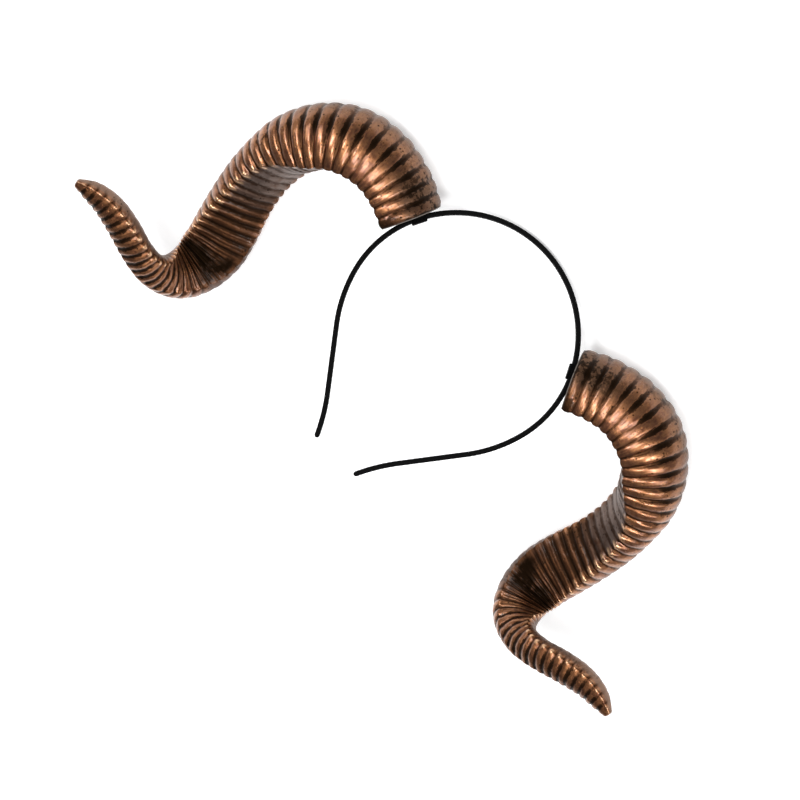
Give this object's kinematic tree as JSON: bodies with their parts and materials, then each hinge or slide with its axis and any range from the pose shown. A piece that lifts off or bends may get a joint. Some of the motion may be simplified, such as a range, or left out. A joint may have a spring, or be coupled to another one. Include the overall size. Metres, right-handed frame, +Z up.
{
  "type": "horn headband",
  "caption": "Thin wrapped headband with a ribbed, curling ram's horn tied to each side of the crown, worn on the head as a costume piece.",
  "frame": {"origin": "middle of the headband's box, on the surface it lies on", "axes": "+X across the head, from one horn's tip to the other's; +Y toward the crown of the band; +Z up from the surface, toward the front of the headband"},
  "size_m": [0.376, 0.1618, 0.0768],
  "materials": {
    "band_wrap": "matt black wound ribbon",
    "horn_paint": "copper bronze metallic paint with a black wash in the grooves",
    "loop_strap": "matt black felt"
  },
  "bodies": {
    "root": {"headband": "band_wrap", "horn_left": "horn_paint", "horn_right": "horn_paint", "band_loop_left": "loop_strap", "band_loop_right": "loop_strap"}
  },
  "joints": []
}
